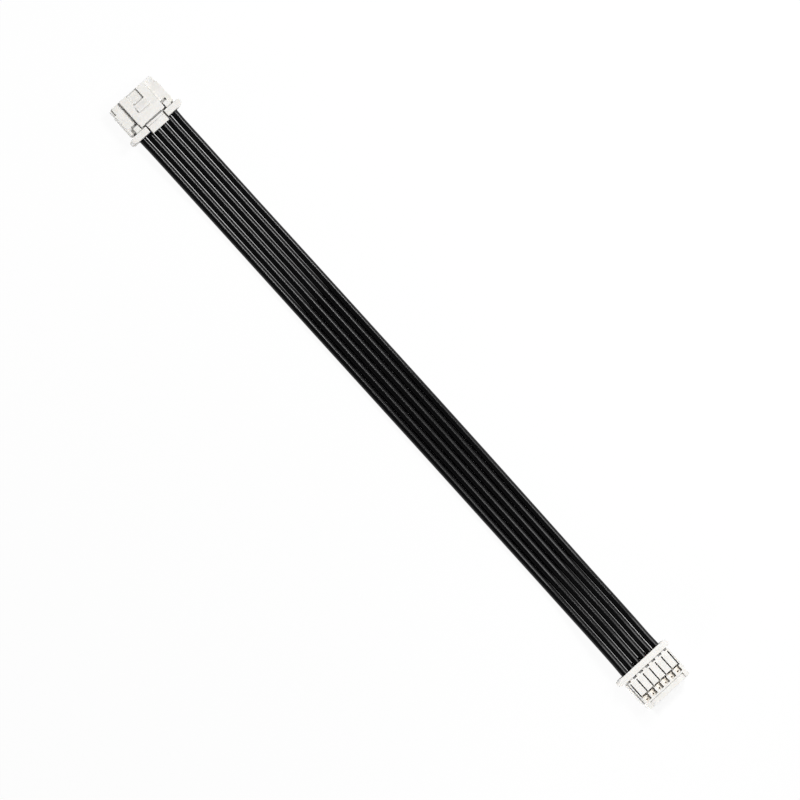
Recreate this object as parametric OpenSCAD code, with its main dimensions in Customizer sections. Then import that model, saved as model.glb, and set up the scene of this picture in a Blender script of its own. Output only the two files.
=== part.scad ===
// Six-circuit wire harness: two latching crimp housings joined by a flat row of wires.
// The first housing lies latch up at -X, the second lies latch down at +X.

/* [Row of circuits] */
// Number of circuits in each housing
circuits = 6; // [6:1:12]
// Distance between neighbouring circuits
pitch = 1.5; // [1.48:0.01:2]

/* [Wires] */
// Outside diameter of a wire's jacket
wire_d = 1.4; // [1.3:0.01:1.44]
// Diameter of the stranded conductor inside the jacket
conductor_d = 0.61; // [0.4:0.01:0.7]
// Length of wire in the open between the two housings
free_run = 128.5; // [110:0.5:300]
// Gap between neighbouring wires where they lie side by side
lay_gap = 0.08; // [0.04:0.01:0.1]
// How far the row of wires bows sideways between the housings
row_bow = 0.41; // [0:0.01:1]

/* [Housing body] */
// Length of a housing from its mating face to the back of its flange
housing_l = 7.65; // [7.4:0.05:9]
// From the outer circuits to the sides of the body
end_margin = 1.025; // [1:0.025:1.4]
// Wall between neighbouring terminal cavities
partition_t = 0.3; // [0.2:0.01:0.35]
// Height of a terminal cavity
cavity_h = 1.55; // [1.45:0.05:1.9]
// Front wall with the pin openings
front_t = 0.5; // [0.4:0.05:0.6]
// Wall above the cavities, under the latch
deck_t = 0.4; // [0.35:0.05:0.6]
// Radius of the upright corners at the mating face
corner_r = 0.3; // [0.1:0.05:0.5]
// How far the guide wings stand out of the body on each side
wing_step = 0.225; // [0.1:0.025:0.4]
// Setback of the guide wings from the mating face
wing_setback = 1.35; // [1:0.05:2]
// Inset of the nose beside the wings
nose_inset = 0.4; // [0.25:0.05:0.5]
// Height of the rails beside the latch, above the deck
rail_h = 0.3; // [0.25:0.05:0.45]
// Clear groove between the wings and the flange
wing_gap = 0.3; // [0.2:0.05:0.5]

/* [Flange] */
// Thickness of the rear flange along the housing
flange_t = 1.25; // [1:0.05:1.5]
// How far the flange's ears stand out of the body on each side
ear = 0.975; // [0.6:0.025:1.5]
// How far the flange stands proud of the terminal face
flange_proud = 0.3; // [0.2:0.05:0.5]
// How far the flange stands above the latch arm
guard_h = 0.35; // [0.35:0.05:0.5]

/* [Latch] */
// Width of the latch arm
arm_w = 5.6; // [5:0.1:6]
// Thickness of the latch arm
arm_t = 0.55; // [0.45:0.05:0.7]
// Clear height under the latch arm, which is its travel
arm_gap = 0.35; // [0.35:0.05:0.5]
// Length of the solid root that carries the arm at the mating face
root_l = 1.2; // [0.8:0.05:1.5]
// Clear slot between the arm and the rails
arm_slot = 0.1; // [0.08:0.01:0.2]
// Clear slot between the arm and the guard posts
post_slot = 0.22; // [0.15:0.01:0.3]
// Width of the recess at the front of the arm
recess_w = 2.35; // [1.8:0.05:3]
// Length of the recess at the front of the arm
recess_l = 2.25; // [1.8:0.05:2.6]
// Depth of the recess at the front of the arm
recess_depth = 0.35; // [0.2:0.05:0.4]
// Length of the lead at the front of the recess
nose_lead = 0.22; // [0.1:0.01:0.3]
// From the recess to the locking nub
nub_setback = 0.2; // [0.1:0.05:0.3]
// Width of the locking nub
nub_w = 2.6; // [2:0.05:3]
// Length of the locking nub
nub_l = 1.35; // [1:0.05:1.6]
// Length of the flat on top of the locking nub
nub_flat = 0.4; // [0.2:0.05:0.6]
// Height of the locking nub above the arm
nub_h = 0.25; // [0.15:0.05:0.3]
// How far the arm's full width stops short of the flange
arm_short = 0.35; // [0.2:0.05:0.5]
// Width of the press pad
pad_w = 3.8; // [3:0.1:4.2]
// Clear slot between the press pad and the flange
pad_slot = 0.3; // [0.2:0.05:0.4]
// How far the press pad overhangs the back of the flange
pad_over = 0.55; // [0.2:0.05:0.8]
// Height of the press pad above the arm
pad_rise = 0.3; // [0.2:0.05:0.35]
// Length of the lower step at the front of the press pad
pad_step_l = 0.5; // [0.3:0.05:0.8]
// How much lower that step is than the press pad
pad_step_h = 0.09; // [0.05:0.01:0.15]
// Width of the groove across the arm in front of the press pad
pad_groove = 0.33; // [0.2:0.01:0.4]
// Depth of the groove in front of the press pad
groove_depth = 0.3; // [0.2:0.01:0.35]
// How far the groove cuts into the arm's full width
groove_lap = 0.1; // [0.05:0.01:0.15]
// Width of a guard post beside the latch
post_w = 1.1; // [0.8:0.05:1.2]
// Length of a guard post in front of the flange
post_l = 1.2; // [0.9:0.05:1.5]
// Height of the guard posts above the arm
post_rise = 0.1; // [0.05:0.05:0.2]
// Length of the pocket in front of a guard post
pocket_l = 0.5; // [0.3:0.05:0.55]
// Depth of the pocket in front of a guard post
pocket_depth = 0.35; // [0.2:0.05:0.4]

/* [Terminal side] */
// Thickness of the lances that hold the terminals
lance_t = 0.5; // [0.4:0.05:0.7]
// From the mating face to the tips of the lances
lance_tip = 2.8; // [2.7:0.05:3]
// Clear gap in front of the tips of the lances
tip_gap = 0.3; // [0.15:0.01:0.35]
// From the mating face to the roots of the lances
lance_root = 5.7; // [5.2:0.05:5.8]
// Width of the slits between the lances
slit_w = 0.24; // [0.15:0.01:0.3]
// From the mating face to the lance windows
window_setback = 1.4; // [1.2:0.05:1.7]
// Width of a lance window
window_w = 1.05; // [0.9:0.05:1.15]
// Clear height above the lances, where they bend
lance_relief = 0.6; // [0.4:0.05:0.7]
// Height of the hook at the tip of a lance
hook_h = 0.25; // [0.15:0.01:0.3]
// Width of that hook
hook_w = 0.9; // [0.7:0.05:1]
// Length of the flat at the tip of the hook
hook_flat = 0.2; // [0.1:0.05:0.3]
// Length of the ramp behind the hook
hook_ramp = 0.5; // [0.3:0.05:0.8]
// Length of the notches at the foot of the flange
notch_l = 0.4; // [0.2:0.05:0.5]
// Width of the notches at the foot of the flange
notch_w = 0.8; // [0.5:0.05:1]
// Depth of the notches at the foot of the flange
notch_depth = 0.3; // [0.1:0.05:0.3]
// Length of the lead-in step at the mating face
step_l = 1.05; // [0.8:0.05:1.2]
// Depth of the lead-in step at the mating face
step_depth = 0.2; // [0.1:0.05:0.3]
// How far the lead-in step reaches past the outer circuits
step_over = 0.225; // [0.1:0.025:0.4]
// Side of the square contact pin that the housing takes
pin_w = 0.5; // [0.4:0.05:0.55]
// How much wider the pin opening is than the pin
pin_clearance = 0.25; // [0.15:0.01:0.3]
// Depth of the four-sided lead-in of a pin opening
pin_lead = 0.18; // [0.1:0.01:0.22]
// Clear gap round a wire where it enters
entry_gap = 0.065; // [0.055:0.005:0.075]
// Depth of the recess around the wire entries
entry_recess = 0.15; // [0.05:0.01:0.2]
// How far that recess reaches past the wire entries
entry_rim = 0.12; // [0.05:0.01:0.15]

/* [Crimp terminal] */
// Thickness of the terminal's sheet metal
stock_t = 0.15; // [0.12:0.01:0.18]
// Length of the terminal's contact box
box_l = 1.95; // [1.8:0.05:2.1]
// Diameter of the spot hole in the contact box
spot_d = 0.34; // [0.2:0.01:0.4]
// From the start of the lance window to the spot hole
spot_setback = 0.34; // [0.2:0.01:0.4]
// Sideways distance of the spot hole from the middle of the contact box
spot_side = 0.15; // [0:0.01:0.16]
// Length of the tapered cut along one lower edge of the contact box
edge_cut_l = 0.85; // [0.7:0.05:1.1]
// Width of that cut at the back of the contact box
edge_cut_w = 0.22; // [0.1:0.01:0.3]
// Height of that cut
edge_cut_h = 0.22; // [0.15:0.01:0.22]
// Width of the spring leaf in the contact box
leaf_w = 0.45; // [0.3:0.01:0.55]
// Thickness of the spring leaf
leaf_t = 0.1; // [0.06:0.01:0.12]
// How far the spring leaf bows into the contact box
leaf_bow = 0.25; // [0.2:0.01:0.35]
// Length of the spring leaf's foot
leaf_foot = 0.2; // [0.1:0.01:0.3]
// From the ends of the contact box to the spring leaf
leaf_inset = 0.1; // [0.05:0.01:0.2]
// Length of the neck between the contact box and the conductor's barrel
neck_l = 0.7; // [0.5:0.05:0.8]
// Height of the neck's walls at the contact box
neck_h = 0.9; // [0.6:0.05:1]
// Height of the neck's walls at the conductor's barrel
neck_end_h = 0.5; // [0.3:0.05:0.6]
// Width of the floor between the two barrels
floor_w = 0.52; // [0.3:0.01:0.6]
// Thickness of the floor between the two barrels
floor_t = 0.09; // [0.06:0.01:0.12]
// How far that floor laps over each barrel
floor_lap = 0.1; // [0.05:0.01:0.2]
// Diameter of the two rolled wings on the conductor's barrel
lobe_d = 0.45; // [0.35:0.01:0.5]
// Distance of the rolled wings from the middle of the barrel
lobe_y = 0.2; // [0.15:0.01:0.22]
// Width of the seam where the jacket barrel's wings meet
seam_w = 0.06; // [0.03:0.01:0.1]
// How far the bare conductor stands out of its barrel
conductor_tip = 0.15; // [0.05:0.01:0.3]
// Length over which the jacket swells from its crimp to its full diameter
swell_l = 0.4; // [0.2:0.05:0.5]
// Length of the barrel that is crimped on the conductor
conductor_barrel_l = 1.2; // [1:0.05:1.3]
// Length of the barrel that is crimped on the jacket
jacket_barrel_l = 1.3; // [1:0.05:1.4]
// Gap between the contact box and the cavity's side walls
box_side_gap = 0.075; // [0.05:0.005:0.1]
// Gap between the contact box and the cavity's floor and roof
box_top_gap = 0.1; // [0.05:0.01:0.15]
// Gap between parts that seat on each other
fit_gap = 0.05; // [0.03:0.01:0.08]
// Gap between the crimped barrels and what they hold
crimp_gap = 0.01; // [0.005:0.005:0.02]

/* [Hidden] */
$fn = 48;
eps = 0.01;

// Widths across the row
row_span = (circuits - 1) * pitch;
body_half = row_span / 2 + end_margin;
wing_half = body_half + wing_step;
nose_half = wing_half - nose_inset;
flange_half = body_half + ear;
cavity_w = pitch - partition_t;
channel_half = arm_w / 2 + arm_slot;
post_inner = arm_w / 2 + post_slot;
post_outer = post_inner + post_w;
notch_half = pad_w / 2 + pad_slot;
step_half = row_span / 2 + step_over;

// Heights, from the flange's edge on the terminal side up to its edge on the latch side
face_z = flange_proud;
lance_z = face_z + lance_t;
circuit_z = lance_z + cavity_h / 2;
roof_z = lance_z + cavity_h;
deck_z = roof_z + deck_t;
rail_z = deck_z + rail_h;
arm_z = deck_z + arm_gap;
arm_top = arm_z + arm_t;
flange_h = arm_top + guard_h;
wing_z = lance_z;

// Places along a housing, from its mating face
flange_x = housing_l - flange_t;
box_x = front_t + fit_gap;
box_end = box_x + box_l;
barrel_x = box_end + neck_l;
jacket_barrel_end = flange_x + fit_gap;
jacket_barrel_x = jacket_barrel_end - jacket_barrel_l;
mouth_x = jacket_barrel_x - fit_gap;

// Round the crimps
mouth_d = wire_d + 2 * entry_gap;
jacket_bore = wire_d - 2 * stock_t;
crimped_d = jacket_bore - 2 * crimp_gap;
barrel_bore = conductor_d + 2 * crimp_gap;
barrel_d = barrel_bore + 2 * stock_t;

// Lengthwise places of the mating faces, and heights of the two ends of the wires
face_x = free_run / 2 + housing_l;
exit_a_z = circuit_z;
exit_b_z = flange_h - circuit_z;
lying_z = wire_d / 2;

// The way a wire comes down from a flange: distance from the flange, share of the drop, share of closing up,
// and shares of the sideways bow by the first flange and by the second
descent = [
    [0, 0, 0, 0, 0], [2.5, 0, 1, 0, 0.03], [6, 0.07, 1, 0.08, 0.2], [9, 0.24, 1, 0.16, 0.36],
    [12, 0.46, 1, 0.26, 0.53], [15, 0.69, 1, 0.36, 0.68], [18, 0.88, 1, 0.45, 0.81],
    [22, 1, 1, 0.52, 0.92], [32, 1, 0.5, 0.61, 0.96], [48, 1, 0, 0.74, 1]
];
tube_sides = 8;

housing_color = "#f3f0e9";
terminal_color = "#c8bfae";
jacket_color = "#161616";
conductor_color = "#d3cdc4";

function circuit_y(i) = (i - 1) * pitch - row_span / 2;
function boundary_y(i) = i * pitch - row_span / 2 - pitch / 2;
function mix(a, b, share) = a + (b - a) * share;
function unit(v) = v / norm(v);
function reversed(list) = [for (k = [len(list) - 1:-1:0]) list[k]];

// A wire's sideways place, from the circuit's pitch to lying beside its neighbours in the bowed row
function lay_y(i, d, bow) = circuit_y(i) / pitch * mix(pitch, wire_d + lay_gap, d[2]) + row_bow * bow;

// Centre line of wire i in the open, from the first flange to the second
function free_line(i) = concat(
    [for (d = descent) [d[0] - free_run / 2, lay_y(i, d, d[3]), mix(exit_a_z, lying_z, d[1])]],
    [for (d = reversed(descent)) [free_run / 2 - d[0], lay_y(i, d, d[4]), mix(exit_b_z, lying_z, d[1])]]
);

// The free line with the stretches inside both housings, at the given places from the mating faces
function whole_line(i, inside) = concat(
    [for (x = inside) [x - face_x, circuit_y(i), exit_a_z]],
    free_line(i),
    [for (x = reversed(inside)) [face_x - x, circuit_y(i), exit_b_z]]
);

// Direction of a line at its point k
function heading(line, k) = unit(line[min(k + 1, len(line) - 1)] - line[max(k - 1, 0)]);

// A ring of points of radius r round point k of a line, with flats at the sides, top and bottom
function ring(line, k, r) =
    let (ahead = heading(line, k), side = unit(cross([0, 0, 1], ahead)), up = cross(ahead, side))
    [for (j = [0:tube_sides - 1])
        let (turn = 360 * (j + 0.5) / tube_sides)
        line[k] + r * (cos(turn) * side + sin(turn) * up)];

// Rings joined into a skin: open rings are capped at both ends, looped ones join end to end
module skin(rings, looped) {
    count = len(rings);
    spans = looped ? count : count - 1;
    faces = [for (i = [0:spans - 1], j = [0:tube_sides - 1])
        let (next = (i + 1) % count, k = (j + 1) % tube_sides)
        [i * tube_sides + j, next * tube_sides + j, next * tube_sides + k, i * tube_sides + k]];
    caps = looped ? [] : [
        [for (j = [0:tube_sides - 1]) j],
        [for (j = [tube_sides - 1:-1:0]) (count - 1) * tube_sides + j]
    ];
    polyhedron([for (r = rings) each r], concat(faces, caps), convexity = 6);
}

// A block between two corners
module block(from, to) {
    translate(from) cube(to - from);
}

// A block that is centred across the row
module middle_block(x, half, z) {
    block([x[0], -half, z[0]], [x[1], half, z[1]]);
}

// A side profile, drawn along and up the housing, carried across a width
module side_profile(points, width) {
    translate([0, width / 2, 0])
        rotate([90, 0, 0])
            linear_extrude(width) polygon(points);
}

// A plan outline with rounded corners, between two heights
module rounded_block(x, half, r, z) {
    translate([0, 0, z[0]])
        linear_extrude(z[1] - z[0]) {
            translate([x[0] + r, -half]) square([x[1] - x[0] - 2 * r, 2 * half]);
            translate([x[0], r - half]) square([x[1] - x[0], 2 * half - 2 * r]);
            for (cx = [x[0] + r, x[1] - r], cy = [r - half, half - r])
                translate([cx, cy]) circle(r);
        }
}

// A round bar along the housing at the height of the circuits
module circuit_rod(x, d) {
    translate([x[0], 0, circuit_z])
        rotate([0, 90, 0])
            cylinder(h = x[1] - x[0], d = d);
}

// A shallow recess in the back of the flange, around all the wire entries
module wire_recess() {
    reach = mouth_d / 2 + entry_rim;
    middle_block(
        [housing_l - entry_recess, housing_l + eps],
        row_span / 2 + reach,
        [circuit_z - reach, circuit_z + reach]
    );
}

// Body with its nose, guide wings and rails, before anything is cut
module body_blank() {
    rounded_block([0, flange_x + corner_r], body_half, corner_r, [face_z, deck_z]);
    rounded_block([0, flange_x - wing_gap], nose_half, corner_r, [wing_z, rail_z]);
    rounded_block([wing_setback, flange_x - wing_gap], wing_half, corner_r, [wing_z, rail_z]);
}

// Rear flange with rounded ears, which guards the press pad
module flange_blank() {
    rounded_block([flange_x, housing_l], flange_half, flange_t / 2 - eps, [0, flange_h]);
}

// Guard posts that reach forward from the flange beside the latch
module guard_posts() {
    for (side = [-1, 1]) {
        inner = side * post_inner;
        outer = side * post_outer;
        block(
            [flange_x - post_l, min(inner, outer), deck_z - pocket_depth],
            [flange_x + eps, max(inner, outer), arm_top + post_rise]
        );
    }
}

// Pockets in front of the guard posts, sunk into the rails
module post_pockets() {
    for (side = [-1, 1]) {
        inner = side * post_inner;
        outer = side * post_outer;
        block(
            [flange_x - post_l - pocket_l, min(inner, outer), rail_z - pocket_depth],
            [flange_x - post_l + eps, max(inner, outer), rail_z + eps]
        );
    }
}

// Latch arm on its root at the mating face, with its recess, locking nub and press pad
module latch() {
    nub_x = recess_l + nub_setback;
    arm_end = flange_x - arm_short;
    pad_x = arm_end + pad_groove - groove_lap;
    pad_top = arm_top + pad_rise;
    recess_z = arm_top - recess_depth;
    difference() {
        union() {
            middle_block([0, root_l], arm_w / 2, [deck_z - eps, arm_top]);
            middle_block([0, arm_end], arm_w / 2, [arm_z, arm_top]);
        }
        middle_block([-eps, recess_l], recess_w / 2, [recess_z, arm_top + eps]);
        side_profile([[-eps, deck_z], [nose_lead, recess_z + eps], [-eps, recess_z + eps]], recess_w);
        middle_block([pad_x - pad_groove, pad_x], pad_w / 2, [arm_top - groove_depth, arm_top + eps]);
    }
    side_profile([
        [nub_x, arm_top - eps],
        [nub_x + nub_l, arm_top - eps],
        [nub_x + nub_l, arm_top + nub_h],
        [nub_x + nub_l - nub_flat, arm_top + nub_h],
        [nub_x, arm_top]
    ], nub_w);
    side_profile([
        [arm_end - eps, arm_z],
        [housing_l + pad_over, arm_z],
        [housing_l + pad_over, pad_top],
        [pad_x + pad_step_l, pad_top],
        [pad_x + pad_step_l, pad_top - pad_step_h],
        [pad_x, pad_top - pad_step_h],
        [pad_x, arm_top - groove_depth],
        [arm_end - eps, arm_top - groove_depth]
    ], pad_w);
}

// Pin opening through the front wall, with a four-sided lead-in
module pin_opening() {
    hole = pin_w + pin_clearance;
    mouth = hole + 2 * pin_lead;
    block(
        [-eps, -hole / 2, circuit_z - hole / 2],
        [front_t + eps, hole / 2, circuit_z + hole / 2]
    );
    intersection() {
        side_profile([
            [0, circuit_z - mouth / 2],
            [pin_lead, circuit_z - hole / 2],
            [pin_lead, circuit_z + hole / 2],
            [0, circuit_z + mouth / 2]
        ], mouth);
        translate([0, 0, circuit_z - mouth / 2])
            linear_extrude(mouth)
                polygon([[0, -mouth / 2], [pin_lead, -hole / 2], [pin_lead, hole / 2], [0, mouth / 2]]);
    }
}

// One circuit's hollow: pin opening, terminal cavity, lance window and round wire entry
module circuit_hollow() {
    pin_opening();
    block([front_t, -cavity_w / 2, lance_z], [mouth_x + eps, cavity_w / 2, roof_z]);
    block([window_setback, -window_w / 2, face_z - eps], [lance_tip - eps, window_w / 2, lance_z + eps]);
    circuit_rod([mouth_x, housing_l + eps], mouth_d);
}

// Slits that free the lances, the space they move in, and the notches at the flange's foot
module lance_cuts() {
    outer_slit = row_span / 2 + pitch / 2 + slit_w / 2;
    middle_block([lance_tip, lance_root], outer_slit, [lance_z, lance_z + lance_relief]);
    middle_block([lance_tip - tip_gap, lance_tip], outer_slit, [face_z - eps, lance_z + eps]);
    for (i = [0:circuits]) {
        y = boundary_y(i);
        block(
            [lance_tip - eps, y - slit_w / 2, face_z - eps],
            [lance_root, y + slit_w / 2, lance_z + eps]
        );
        block(
            [flange_x - notch_l, y - notch_w / 2, face_z - eps],
            [flange_x, y + notch_w / 2, face_z + notch_depth]
        );
    }
}

// Hook at the tip of a lance, which catches the rear edge of the contact box
module lance_hook() {
    side_profile([
        [lance_tip, lance_z - eps],
        [lance_tip + hook_flat + hook_ramp, lance_z - eps],
        [lance_tip + hook_flat, lance_z + hook_h],
        [lance_tip, lance_z + hook_h]
    ], hook_w);
}

// One moulded housing, mating face at x = 0, latch up
module housing() {
    color(housing_color) {
        difference() {
            union() {
                body_blank();
                flange_blank();
            }
            middle_block([root_l, flange_x], channel_half, [deck_z, flange_h]);
            middle_block([flange_x - post_l - pocket_l, flange_x], post_inner, [deck_z, flange_h]);
            middle_block([flange_x, housing_l + eps], notch_half, [deck_z, flange_h + eps]);
            post_pockets();
            middle_block([-eps, step_l], step_half, [face_z - eps, face_z + step_depth]);
            lance_cuts();
            wire_recess();
            for (i = [1:circuits]) translate([0, circuit_y(i), 0]) circuit_hollow();
        }
        guard_posts();
        latch();
        for (i = [1:circuits]) translate([0, circuit_y(i), 0]) lance_hook();
    }
}

// Contact box with its spring leaf, open at both ends
module contact_box() {
    w = cavity_w - 2 * box_side_gap;
    z = [lance_z + box_top_gap, roof_z - box_top_gap];
    inner_top = z[1] - stock_t;
    leaf_x = [box_x + leaf_inset, box_end - leaf_inset - leaf_foot];
    leaf_mid = box_x + box_l / 2;
    spot_x = window_setback + spot_setback;
    difference() {
        middle_block([box_x, box_end], w / 2, z);
        middle_block([box_x - eps, box_end + eps], w / 2 - stock_t, [z[0] + stock_t, inner_top]);
        translate([spot_x, -spot_side, z[0] - eps]) cylinder(h = stock_t + 2 * eps, d = spot_d);
        translate([0, 0, z[0] - eps])
            linear_extrude(edge_cut_h + eps)
                polygon([
                    [box_end - edge_cut_l, w / 2 + eps],
                    [box_end + eps, w / 2 - edge_cut_w],
                    [box_end + eps, w / 2 + eps]
                ]);
    }
    side_profile([
        [leaf_x[0], inner_top + eps],
        [leaf_x[0] + leaf_foot, inner_top + eps],
        [leaf_mid, inner_top - leaf_bow + leaf_t],
        [leaf_x[1], inner_top - leaf_t],
        [leaf_x[1], inner_top - 2 * leaf_t],
        [leaf_mid, inner_top - leaf_bow],
        [leaf_x[0], inner_top - leaf_t]
    ], leaf_w);
}

// Side walls that lead from the contact box to the conductor's barrel, and the floor on to the jacket's
module terminal_neck() {
    inner_w = cavity_w - 2 * box_side_gap - 2 * stock_t;
    barrel_z = circuit_z - barrel_d / 2;
    jacket_z = circuit_z - wire_d / 2;
    wall_end = barrel_x + conductor_barrel_l / 4;
    floor_sink = (stock_t - floor_t) / 2;
    floor_x = [barrel_x + conductor_barrel_l - floor_lap, jacket_barrel_x + floor_lap];
    floor_z = [barrel_z + floor_sink, jacket_z + floor_sink];
    for (side = [-1, 1]) {
        translate([0, side * (inner_w / 2 + stock_t / 2), 0])
            side_profile([
                [box_end - eps, circuit_z - neck_h / 2],
                [wall_end, circuit_z - neck_end_h / 2],
                [wall_end, circuit_z + neck_end_h / 2],
                [box_end - eps, circuit_z + neck_h / 2]
            ], stock_t);
    }
    side_profile([
        [floor_x[0], floor_z[0]],
        [floor_x[1], floor_z[1]],
        [floor_x[1], floor_z[1] + floor_t],
        [floor_x[0], floor_z[0] + floor_t]
    ], floor_w);
}

// Barrel crimped on the conductor, its two wings rolled in at the top
module conductor_barrel() {
    translate([barrel_x, 0, circuit_z])
        rotate([90, 0, 90])
            linear_extrude(conductor_barrel_l)
                difference() {
                    union() {
                        circle(d = barrel_d);
                        for (side = [-1, 1]) translate([side * lobe_y, barrel_d / 4]) circle(d = lobe_d);
                    }
                    circle(d = barrel_bore);
                }
}

// Barrel crimped on the jacket, with the seam where its wings meet
module jacket_barrel() {
    translate([jacket_barrel_x, 0, circuit_z])
        rotate([90, 0, 90])
            linear_extrude(jacket_barrel_l)
                difference() {
                    circle(d = wire_d);
                    circle(d = jacket_bore);
                    translate([-seam_w / 2, 0]) square([seam_w, wire_d]);
                }
}

// One stamped crimp terminal, on its circuit's own axis
module terminal() {
    color(terminal_color) {
        contact_box();
        terminal_neck();
        conductor_barrel();
        jacket_barrel();
    }
}

// Puts a piece into the first housing's place: mating face at -X, latch up
module at_a() {
    translate([-face_x, 0, 0]) children();
}

// Puts a piece into the second housing's place: mating face at +X, latch down
module at_b() {
    translate([face_x, 0, flange_h]) rotate([0, 180, 0]) children();
}

// Jacket of wire i, squeezed where its two barrels hold it
module wire(i) {
    jacket_start = jacket_barrel_x + fit_gap;
    squeeze_end = jacket_barrel_end + fit_gap;
    inside = [jacket_start, squeeze_end, squeeze_end + swell_l];
    line = whole_line(i, inside);
    last = len(line) - 1;
    bore = conductor_d / 2 + crimp_gap;
    outer = [for (k = [0:last]) ring(line, k, (min(k, last - k) < 2 ? crimped_d : wire_d) / 2)];
    inner = [for (k = [0:last]) ring(line, k, bore)];
    color(jacket_color) skin(concat(outer, reversed(inner)), true);
}

// Conductor of wire i, from one contact box's back to the other's
module conductor(i) {
    line = whole_line(i, [barrel_x - conductor_tip, jacket_barrel_x]);
    rings = [for (k = [0:len(line) - 1]) ring(line, k, conductor_d / 2)];
    color(conductor_color) skin(rings, false);
}

at_a() housing();  // housing_a
at_b() housing();  // housing_b
for (i = [1:circuits]) {
    at_a() translate([0, circuit_y(i), 0]) terminal();
    at_b() translate([0, circuit_y(i), 0]) terminal();
    wire(i);
    conductor(i);
}
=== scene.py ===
# Six-way wire harness: latching nylon housings, stamped crimp terminals and a flat row of black wires.
from math import cos, radians, sin

import bpy
import numpy as np
from mathutils import Matrix, Vector


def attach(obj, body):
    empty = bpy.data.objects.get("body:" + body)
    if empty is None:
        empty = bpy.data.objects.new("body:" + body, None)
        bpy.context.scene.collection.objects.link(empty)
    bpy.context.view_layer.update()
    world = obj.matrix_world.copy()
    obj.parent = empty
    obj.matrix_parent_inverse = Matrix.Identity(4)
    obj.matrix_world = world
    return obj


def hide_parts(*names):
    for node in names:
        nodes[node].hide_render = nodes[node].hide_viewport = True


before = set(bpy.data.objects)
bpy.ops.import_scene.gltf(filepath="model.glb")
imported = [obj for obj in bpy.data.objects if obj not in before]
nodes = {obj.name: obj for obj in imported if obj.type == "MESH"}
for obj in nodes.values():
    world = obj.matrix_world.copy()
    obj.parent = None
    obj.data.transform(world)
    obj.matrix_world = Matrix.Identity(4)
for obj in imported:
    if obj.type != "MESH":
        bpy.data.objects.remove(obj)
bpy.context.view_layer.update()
mm = 0.001
circuits = range(1, 7)
ends = "ab"
noiseSpan = (0.3, 0.7)  # most values of a noise texture lie between these
shadeSamples = 8  # rays for each rounded edge and each crevice
scene = bpy.context.scene
scene.view_settings.view_transform = "Standard"
print("frame loaded with", len(nodes), "nodes")


def linear(colour):
    # sRGB hex to linear light: c / 12.92 near black, else ((c + 0.055) / 1.055) to the power 2.4
    srgb = np.array([int(colour[k:k + 2], 16) for k in (1, 3, 5)]) / 255
    light = np.where(srgb <= 0.04045, srgb / 12.92, ((srgb + 0.055) / 1.055) ** 2.4)
    return (*light.tolist(), 1.0)


def setInputs(tree, node, inputs):
    # an input is a value for its socket, or another node's output to link to it
    for name, value in inputs.items():
        if isinstance(value, bpy.types.NodeSocket):
            tree.links.new(value, node.inputs[name])
        else:
            node.inputs[name].default_value = value


def addNode(tree, kind, inputs, **fields):
    node = tree.nodes.new("ShaderNode" + kind)
    for name, value in fields.items():
        setattr(node, name, value)
    setInputs(tree, node, inputs)
    return node


def newMaterial(name):
    material = bpy.data.materials.new(name)
    material.use_nodes = True
    return material, material.node_tree, material.node_tree.nodes["Principled BSDF"]


def roughnessFrom(tree, noise, limits):
    rough = addNode(tree, "MapRange", {
        "Value": noise.outputs["Fac"],
        "From Min": noiseSpan[0], "From Max": noiseSpan[1],
        "To Min": limits[0], "To Max": limits[1],
    })
    return rough.outputs["Result"]


def tintFrom(tree, texture, stops):
    ramp = addNode(tree, "ValToRGB", {"Fac": texture.outputs["Fac"]})
    for stop, (position, colour) in zip(ramp.color_ramp.elements, stops):
        stop.position = position
        stop.color = linear(colour)
    return ramp.outputs["Color"]


def paintShadeInCrevices(tree, look, colour):
    # painted shade: slits and grooves, into which little light comes, are painted a dark brown where ambient
    # occlusion finds little open sky
    sky = addNode(tree, "AmbientOcclusion", {"Distance": look["creviceMm"] * mm}, samples=shadeSamples)
    clear = addNode(tree, "MapRange", {
        "Value": sky.outputs["AO"], "From Min": look["creviceOpen"][0], "From Max": look["creviceOpen"][1],
    }, interpolation_type="SMOOTHSTEP")
    # the painted shade colour is mixed over the surface's own tint, fully where the sky is most closed
    shaded = addNode(tree, "MixRGB", {
        "Fac": clear.outputs["Result"], "Color1": linear(look["paintedCreviceShade"]), "Color2": colour,
    })
    return shaded.outputs["Color"]


# camera: looks almost straight down, a little from the -Y side, with the wires running down to the right
view = {
    "imageSize": 800,
    "pixelsPerMm": 5.6,
    "lens": 300.0,
    "tilt": radians(9.5),
    "roll": radians(48.0),
    "seenPoint": (0, 0, 1.5 * mm),
    "seenAt": (398.87, 393.24),  # pixel at which the seen point lies
    "clip": (0.1, 10),  # shares of the distance
}


def makeCamera():
    data = bpy.data.cameras.new("camera")
    data.lens = view["lens"]
    back = Vector((0, -sin(view["tilt"]), cos(view["tilt"])))
    across = Vector((1, 0, 0))
    upward = back.cross(across)
    right = cos(view["roll"]) * across + sin(view["roll"]) * upward
    up = cos(view["roll"]) * upward - sin(view["roll"]) * across
    pixel = mm / view["pixelsPerMm"]
    offX, offY = (at - view["imageSize"] / 2 for at in view["seenAt"])
    aim = Vector(view["seenPoint"]) + (offY * up - offX * right) * pixel
    distance = view["imageSize"] * pixel * data.lens / data.sensor_width
    place = Matrix.Translation(aim + back * distance)
    turn = Matrix((right, up, back)).transposed().to_4x4()
    camera = bpy.data.objects.new("camera", data)
    camera.matrix_world = place @ turn
    data.clip_start, data.clip_end = (distance * share for share in view["clip"])
    scene.collection.objects.link(camera)
    scene.camera = camera
    print("camera", round(distance, 3), "m away")


makeCamera()


# black PVC jacket, extruded: near black with a soft gloss, and faint drawing lines along the wire
pvc = {
    "colour": "#060607",
    "ior": 1.53,
    "specular": 0.2,
    "roughness": (0.18, 0.23),
    "patchMm": 9.0,
    "lineMm": 0.11,  # real drawing lines are finer, drawn coarse enough to show
    "lineLengthMm": 14.0,
    "lineDepthMm": 0.01,
    "lineStrength": 0.02,
}


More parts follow.
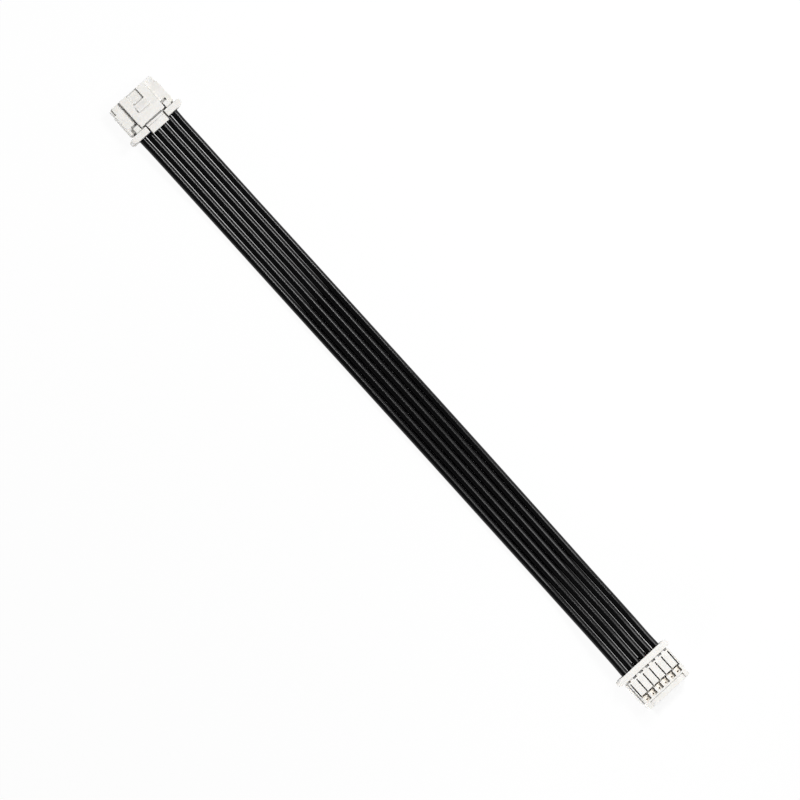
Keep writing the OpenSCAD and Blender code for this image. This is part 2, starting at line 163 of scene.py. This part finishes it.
def blackPvc():
    material, tree, shader = newMaterial("black extruded PVC")
    uv = addNode(tree, "TexCoord", {}).outputs["UV"]
    patchScale = 1 / (pvc["patchMm"] * mm)
    patches = addNode(tree, "TexNoise", {"Vector": uv, "Scale": patchScale, "Detail": 2.0})
    stretch = (1 / (pvc["lineLengthMm"] * mm), 1 / (pvc["lineMm"] * mm), 1)
    along = addNode(tree, "Mapping", {"Vector": uv, "Scale": stretch})
    lines = addNode(tree, "TexNoise", {"Vector": along.outputs["Vector"], "Scale": 1.0, "Detail": 2.0})
    bump = addNode(tree, "Bump", {
        "Height": lines.outputs["Fac"], "Strength": pvc["lineStrength"], "Distance": pvc["lineDepthMm"] * mm,
    })
    setInputs(tree, shader, {
        "Base Color": linear(pvc["colour"]),
        "Roughness": roughnessFrom(tree, patches, pvc["roughness"]),
        "IOR": pvc["ior"],
        "Specular IOR Level": pvc["specular"],
        "Normal": bump.outputs["Normal"],
    })
    return material


# wires: the route's own points, each a distance in mm from a flange, the shares of the drop and of closing
# up, and the shares of the sideways bow by the first flange and by the second
wire = {
    "diameter": 1.4 * mm,
    "bore": 0.63 * mm,
    "crimped": 1.08 * mm,
    "pitch": 1.5 * mm,
    "layPitch": 1.48 * mm,
    "freeRun": 128.5 * mm,
    "housingLength": 7.65 * mm,
    "exitHeight": (1.575 * mm, 2.425 * mm),
    "lyingHeight": 0.7 * mm,
    "rowBow": 0.41 * mm,
    # from the mating face: the jacket's end, the crimp's end and the first full thickness
    "inside": (5.2 * mm, 6.5 * mm, 6.9 * mm),
    "descent": (
        (0, 0, 0, 0, 0), (2.5, 0, 1, 0, 0.03), (6, 0.07, 1, 0.08, 0.2), (9, 0.24, 1, 0.16, 0.36),
        (12, 0.46, 1, 0.26, 0.53), (15, 0.69, 1, 0.36, 0.68), (18, 0.88, 1, 0.45, 0.81),
        (22, 1, 1, 0.52, 0.92), (32, 1, 0.5, 0.61, 0.96), (48, 1, 0, 0.74, 1),
    ),
    "ringStep": 0.8 * mm,
    "sides": 36,
    "uvShift": 50 * mm,  # from wire to wire, so that no two have the same drawing lines
}


def routeHalf(circuit, half):
    # from inside the housing to mid run: x counts from the mating face, y and z go from exit to lying row
    place = circuit - (circuits[0] + circuits[-1]) / 2
    inside = [(fromFace - wire["housingLength"], 0, 0, 0, 0) for fromFace in wire["inside"]]
    descent = np.array(wire["descent"]) * (mm, 1, 1, 1, 1)
    distance, drop, closing, *bows = np.concatenate([inside, descent]).T
    x = distance + wire["housingLength"]
    pitch = wire["pitch"] + (wire["layPitch"] - wire["pitch"]) * closing
    y = place * pitch + wire["rowBow"] * bows[half]
    z = wire["exitHeight"][half] + (wire["lyingHeight"] - wire["exitHeight"][half]) * drop
    return np.stack([x, y, z], axis=1)


def wireRoute(circuit):
    faceX = wire["freeRun"] / 2 + wire["housingLength"]
    first = routeHalf(circuit, 0) - (faceX, 0, 0)
    second = routeHalf(circuit, 1) * (-1, 1, 1) + (faceX, 0, 0)
    return np.concatenate([first, second[::-1]])


def smoothRoute(points, step):
    # cubic through the points over x, its slopes the harmonic mean of the neighbouring ones, so that it
    # never overshoots
    x = points[:, 0]
    rise = np.diff(points, axis=0) / np.diff(x)[:, None]
    before, after = rise[:-1], rise[1:]
    same = before * after > 0
    total = np.where(same, before + after, 1)
    slope = np.zeros_like(points)
    slope[1:-1] = np.where(same, 2 * before * after / total, 0)
    at = np.linspace(x[0], x[-1], int(round((x[-1] - x[0]) / step)) + 1)
    k = np.clip(np.searchsorted(x, at, side="right") - 1, 0, len(x) - 2)
    gap = (x[k + 1] - x[k])[:, None]
    t = ((at - x[k]) / gap[:, 0])[:, None]
    line = ((1 + 2 * t) * (1 - t) ** 2 * points[k] + t * (1 - t) ** 2 * gap * slope[k]
            + t * t * (3 - 2 * t) * points[k + 1] + t * t * (t - 1) * gap * slope[k + 1])
    line[:, 0] = at
    return line


def tubeRings(line, radius):
    # ring point = centre + radius * (cos(turn) * side + sin(turn) * up), side level and up square to the run
    ahead = np.gradient(line, axis=0)
    ahead /= np.linalg.norm(ahead, axis=1)[:, None]
    side = np.cross((0, 0, 1), ahead)
    side /= np.linalg.norm(side, axis=1)[:, None]
    up = np.cross(ahead, side)
    turn = 2 * np.pi * np.arange(wire["sides"]) / wire["sides"]
    spoke = np.cos(turn)[None, :, None] * side[:, None] + np.sin(turn)[None, :, None] * up[:, None]
    return line[:, None] + np.broadcast_to(radius, len(line))[:, None, None] * spoke


def loopedGrid(name, rings, along):
    # quads of a grid that closes both ways, with a UV of metres along the piece and metres around it
    rows, columns = rings.shape[:2]
    i, j = np.meshgrid(np.arange(rows), np.arange(columns), indexing="ij")
    nextI, nextJ = (i + 1) % rows, (j + 1) % columns
    corners = (i * columns + j, i * columns + nextJ, nextI * columns + nextJ, nextI * columns + j)
    mesh = bpy.data.meshes.new(name)
    mesh.from_pydata(rings.reshape(-1, 3), [], np.stack(corners, axis=-1).reshape(-1, 4))
    around = np.pi * wire["diameter"] / columns
    u = np.stack([along[i], along[i], along[nextI], along[nextI]], axis=-1)
    v = np.stack([j, j + 1, j + 1, j], axis=-1) * around
    uvMap = mesh.uv_layers.new(name="along")
    uvMap.data.foreach_set("uv", np.stack([u, v], axis=-1).astype(np.float32).ravel())
    mesh.polygons.foreach_set("use_smooth", np.ones(rows * columns, bool))
    mesh.update()
    piece = bpy.data.objects.new(name, mesh)
    scene.collection.objects.link(piece)
    return piece


def jacketDiameter(line):
    # crimped inside the terminal's barrel, then swelling by t * t * (3 - 2 * t) to its full thickness
    fromFace = wire["freeRun"] / 2 + wire["housingLength"] - np.abs(line[:, 0])
    crimpEnd, fullAt = wire["inside"][1:]
    t = np.clip((fromFace - crimpEnd) / (fullAt - crimpEnd), 0, 1)
    return wire["crimped"] + (wire["diameter"] - wire["crimped"]) * t * t * (3 - 2 * t)


def makeWires():
    jacket = blackPvc()
    for circuit in circuits:
        line = smoothRoute(wireRoute(circuit), wire["ringStep"])
        outer = tubeRings(line, jacketDiameter(line) / 2)
        bore = tubeRings(line, wire["bore"] / 2)
        along = line[:, 0] + wire["uvShift"] * circuit
        rings = np.concatenate([outer, bore[::-1]])
        piece = loopedGrid(f"jacket_{circuit}", rings, np.concatenate([along, along[::-1]]))
        piece.data.materials.append(jacket)
        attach(piece, "root")
        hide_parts(f"wire_{circuit}")


makeWires()


# moulded nylon: warm off-white, satin from a finely spark-eroded mould, some light carried under the
# surface, with painted shade in its slits and grooves
nylon = {
    "tint": ((0.3, "#e9e7e2"), (0.65, "#f0eeeb")),
    # dark brown painted shade for slits and grooves
    "paintedCreviceShade": "#140d08",
    "creviceMm": 0.5,  # depth and width over which the painted shade darkens a narrow slit
    "creviceOpen": (0.1, 0.9),  # share of open sky at which the painted shade is full, and at which it ends
    "ior": 1.53,
    "roughness": (0.4, 0.52),
    "patchMm": 1.8,
    "grainMm": 0.12,  # the real grain is about 0.03 mm, drawn coarser so that it shows
    "grainDepthMm": 0.01,
    "grainStrength": 0.15,
    "underSurfaceMm": 0.3,
    "underSurfaceShare": 0.1,
    "underSurfaceReach": (1.0, 0.85, 0.7),  # red, green and blue
    "edgeMm": 0.11,  # small radius on every moulded edge
}


def mouldedNylon():
    material, tree, shader = newMaterial("moulded off-white nylon")
    place = addNode(tree, "TexCoord", {}).outputs["Object"]
    patchScale, grainScale = (1 / (nylon[name] * mm) for name in ("patchMm", "grainMm"))
    patches = addNode(tree, "TexNoise", {"Vector": place, "Scale": patchScale, "Detail": 2.0})
    grain = addNode(tree, "TexNoise", {"Vector": place, "Scale": grainScale, "Detail": 3.0})
    edges = addNode(tree, "Bevel", {"Radius": nylon["edgeMm"] * mm}, samples=shadeSamples)
    bump = addNode(tree, "Bump", {
        "Height": grain.outputs["Fac"], "Normal": edges.outputs["Normal"],
        "Strength": nylon["grainStrength"], "Distance": nylon["grainDepthMm"] * mm,
    })
    setInputs(tree, shader, {
        "Base Color": paintShadeInCrevices(tree, nylon, tintFrom(tree, patches, nylon["tint"])),
        "Roughness": roughnessFrom(tree, grain, nylon["roughness"]),
        "IOR": nylon["ior"],
        "Normal": bump.outputs["Normal"],
        "Subsurface Weight": nylon["underSurfaceShare"],
        "Subsurface Radius": nylon["underSurfaceReach"],
        "Subsurface Scale": nylon["underSurfaceMm"] * mm,
    })
    return material


def dressHousings():
    material = mouldedNylon()
    for end in ends:
        nodes[f"housing_{end}"].material_slots[0].material = material
    print("housings dressed")


dressHousings()


# tinned phosphor bronze: stamped sheet, pale warm metal with faint rolling lines, and painted shade where it
# lies deep in narrow crevices
bronze = {
    "tint": ((0.25, "#e2dacd"), (0.55, "#f1ede6")),
    # dark brown painted shade where the terminal lies deep in narrow crevices, with its occlusion limits
    # below
    "paintedCreviceShade": "#140d08",
    "creviceMm": 0.8,
    "creviceOpen": (0.06, 0.3),
    "roughness": (0.6, 0.75),
    "patchMm": 0.6,
    "lineMm": 0.06,
    "lineLengthMm": 1.5,
}


def tinnedBronze():
    material, tree, shader = newMaterial("tinned phosphor bronze")
    place = addNode(tree, "TexCoord", {}).outputs["Object"]
    patchScale, lineScale, lengthScale = (
        1 / (bronze[name] * mm) for name in ("patchMm", "lineMm", "lineLengthMm")
    )
    patches = addNode(tree, "TexNoise", {"Vector": place, "Scale": patchScale, "Detail": 2.0})
    rolled = addNode(tree, "Mapping", {"Vector": place, "Scale": (lengthScale, lineScale, lineScale)})
    lines = addNode(tree, "TexNoise", {"Vector": rolled.outputs["Vector"], "Scale": 1.0, "Detail": 2.0})
    setInputs(tree, shader, {
        "Base Color": paintShadeInCrevices(tree, bronze, tintFrom(tree, patches, bronze["tint"])),
        "Metallic": 1.0,
        "Roughness": roughnessFrom(tree, lines, bronze["roughness"]),
    })
    return material


def dressTerminals():
    material = tinnedBronze()
    for end in ends:
        for circuit in circuits:
            nodes[f"terminal_{end}{circuit}"].material_slots[0].material = material
    print("terminals dressed")


dressTerminals()


# tinned copper strands: bright metal with the slanting lines of the twisted bundle, the grooves between
# strands painted darker as shade
copper = {
    # painted shade: the grooves between strands take the darker tint, the crests the brighter one
    "tint": ((0.05, "#8d7f6c"), (0.4, "#d9d2c6")),
    "roughness": 0.3,
    "strandMm": 0.2,
    "strandWander": 0.6,
    "grooveDepthMm": 0.03,
    "grooveStrength": 0.6,
    "twist": radians(18),
}


def tinnedCopper():
    material, tree, shader = newMaterial("tinned stranded copper")
    place = addNode(tree, "TexCoord", {}).outputs["Object"]
    slant = addNode(tree, "Mapping", {"Vector": place, "Rotation": (0, 0, copper["twist"])})
    # a sine band texture repeats every 2 pi / 20 of its scaled coordinate
    scale = 2 * np.pi / 20 / (copper["strandMm"] * mm)
    bands = addNode(tree, "TexWave", {
        "Vector": slant.outputs["Vector"], "Scale": scale, "Distortion": copper["strandWander"],
    }, bands_direction="Y")
    bump = addNode(tree, "Bump", {
        "Height": bands.outputs["Fac"],
        "Strength": copper["grooveStrength"], "Distance": copper["grooveDepthMm"] * mm,
    })
    setInputs(tree, shader, {
        # the same bands as the bump, so the grooves are painted darker as shade
        "Base Color": tintFrom(tree, bands, copper["tint"]),
        "Metallic": 1.0,
        "Roughness": copper["roughness"],
        "Normal": bump.outputs["Normal"],
    })
    return material


def dressConductors():
    material = tinnedCopper()
    for circuit in circuits:
        nodes[f"conductor_{circuit}"].material_slots[0].material = material
    print("conductors dressed")


dressConductors()


# white sweep: a floor and a low round wall, white to the camera, keeping a soft shadow
sweep = {
    "radius": 2.5,
    "wallHeight": 0.8,
    "bend": 0.3,
    "bendRings": 9,
    "floorRings": (0.02, 0.5, 1.2),
    "sides": 96,
    "colour": "#fafafa",
    "roughness": 0.9,
    "whiteShare": 0.95,  # share of plain white that the camera and reflections see, the rest is lit paper
    # where the wires lie on the paper no white shows between them: axis, last dark place, first white place
    "shadeEnds": (
        ("X", -22 * mm, -46 * mm), ("X", 42 * mm, 80 * mm),
        ("Y", -3.6 * mm, -4 * mm), ("Y", 3.6 * mm, 4 * mm),
    ),
}


def addMath(tree, operation, first, second):
    return addNode(tree, "Math", {0: first, 1: second}, operation=operation).outputs["Value"]


def whitePaper():
    material, tree, shader = newMaterial("white paper sweep")
    path = addNode(tree, "LightPath", {})
    seen = path.outputs["Is Camera Ray"]
    for name in ("Is Glossy Ray", "Is Transmission Ray"):
        seen = addMath(tree, "MAXIMUM", seen, path.outputs[name])
    place = addNode(tree, "SeparateXYZ", {"Vector": addNode(tree, "TexCoord", {}).outputs["Object"]})
    clear = 0.0
    for axis, darkAt, whiteAt in sweep["shadeEnds"]:
        past = addNode(tree, "MapRange", {
            "Value": place.outputs[axis], "From Min": darkAt, "From Max": whiteAt,
        })
        clear = addMath(tree, "MAXIMUM", clear, past.outputs["Result"])
    share = addMath(tree, "MULTIPLY", seen, addMath(tree, "MULTIPLY", clear, sweep["whiteShare"]))
    setInputs(tree, shader, {
        "Base Color": linear(sweep["colour"]), "Roughness": sweep["roughness"], "Specular IOR Level": 0.0,
    })
    white = addNode(tree, "Emission", {"Color": (1, 1, 1, 1), "Strength": 1.0})
    both = addNode(tree, "MixShader", {0: share, 1: shader.outputs["BSDF"], 2: white.outputs["Emission"]})
    tree.links.new(both.outputs["Shader"], tree.nodes["Material Output"].inputs["Surface"])
    return material


def makeSweep():
    # profile turned about the upright axis: flat floor, quarter round, upright wall
    turn = np.linspace(0, np.pi / 2, sweep["bendRings"])
    bendR = sweep["radius"] - sweep["bend"] + sweep["bend"] * np.sin(turn)
    bendZ = sweep["bend"] - sweep["bend"] * np.cos(turn)
    r = np.concatenate([sweep["floorRings"], bendR, [sweep["radius"]]])
    z = np.concatenate([np.zeros(len(sweep["floorRings"])), bendZ, [sweep["wallHeight"]]])
    angle = 2 * np.pi * np.arange(sweep["sides"]) / sweep["sides"]
    x, y = r[:, None] * np.cos(angle), r[:, None] * np.sin(angle)
    rings = np.stack([x, y, np.broadcast_to(z[:, None], x.shape)], axis=-1)
    rows, columns = x.shape
    i, j = np.meshgrid(np.arange(rows - 1), np.arange(columns), indexing="ij")
    nextI, nextJ = i + 1, (j + 1) % columns
    corners = (i * columns + j, nextI * columns + j, nextI * columns + nextJ, i * columns + nextJ)
    faces = np.stack(corners, axis=-1).reshape(-1, 4).tolist() + [list(range(columns))]
    mesh = bpy.data.meshes.new("sweep")
    mesh.from_pydata(rings.reshape(-1, 3), [], faces)
    mesh.materials.append(whitePaper())
    mesh.update()
    floor = bpy.data.objects.new("sweep", mesh)
    scene.collection.objects.link(floor)
    print("sweep made")


makeSweep()


# soft boxes: width and height in metres, power in watts, and the spread that a grid on the box leaves
softBoxes = {
    "box by the first housing": {
        "place": (-0.054, 0.155, 0.245), "aim": (-0.045, 0, 0), "size": (0.08, 0.06),
        "power": 0.485, "spread": radians(180),
    },
    "box by the second housing": {
        "place": (0.07, 0.14, 0.25), "aim": (0.05, 0, 0), "size": (0.08, 0.15),
        "power": 0.395, "spread": radians(180),
    },
    "wide box along the row": {
        "place": (0, 0.42, 0.22), "aim": (0, 0, 0), "size": (0.4, 0.2),
        "power": 0.32, "spread": radians(180),
    },
    "low fill by the first housing": {
        "place": (-0.145, -0.2, 0.045), "aim": (-0.068, 0, 0.002), "size": (0.04, 0.06),
        "power": 0.0056, "spread": radians(30),
    },
    "low fill by the second housing": {
        "place": (0.145, -0.2, 0.045), "aim": (0.068, 0, 0.002), "size": (0.04, 0.06),
        "power": 0.011, "spread": radians(30),
    },
}
dimRoom = {"colour": "#ffffff", "strength": 0.1}


def makeLights():
    for name, box in softBoxes.items():
        data = bpy.data.lights.new(name, "AREA")
        data.shape = "RECTANGLE"
        data.size, data.size_y = box["size"]
        data.energy = box["power"]
        data.spread = box["spread"]
        lamp = bpy.data.objects.new(name, data)
        lamp.location = box["place"]
        toAim = Vector(box["aim"]) - Vector(box["place"])
        lamp.rotation_euler = toAim.to_track_quat("-Z", "Y").to_euler()
        scene.collection.objects.link(lamp)
    world = bpy.data.worlds.new("dim room")
    world.use_nodes = True
    background = world.node_tree.nodes["Background"]
    background.inputs["Color"].default_value = linear(dimRoom["colour"])
    background.inputs["Strength"].default_value = dimRoom["strength"]
    scene.world = world
    print("lights:", len(softBoxes))


makeLights()
